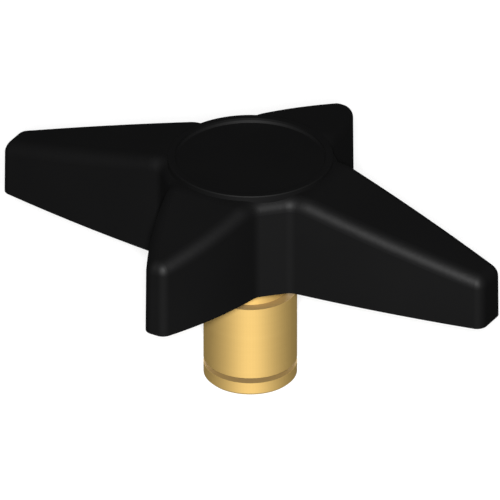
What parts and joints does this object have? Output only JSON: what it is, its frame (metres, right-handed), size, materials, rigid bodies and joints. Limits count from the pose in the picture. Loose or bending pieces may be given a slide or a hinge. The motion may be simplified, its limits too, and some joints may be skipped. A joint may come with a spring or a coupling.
{
  "type": "locking knob",
  "caption": "Moulded star knob with long and short arms, a round boss, and a turned brass insert with a blind threaded hole, for tightening a clamp by hand.",
  "frame": {"origin": "centre of the insert's free end face, the lowest point of the part", "axes": "+Z along the knob's axis, from the insert towards the boss; X along the long arms and Y along the short ones"},
  "size_m": [0.1004, 0.069, 0.0453],
  "materials": {
    "black_plastic": "satin moulded black",
    "turned_brass": "fine turned"
  },
  "bodies": {
    "root": {"knob_handle": "black_plastic", "threaded_insert": "turned_brass"}
  },
  "joints": []
}
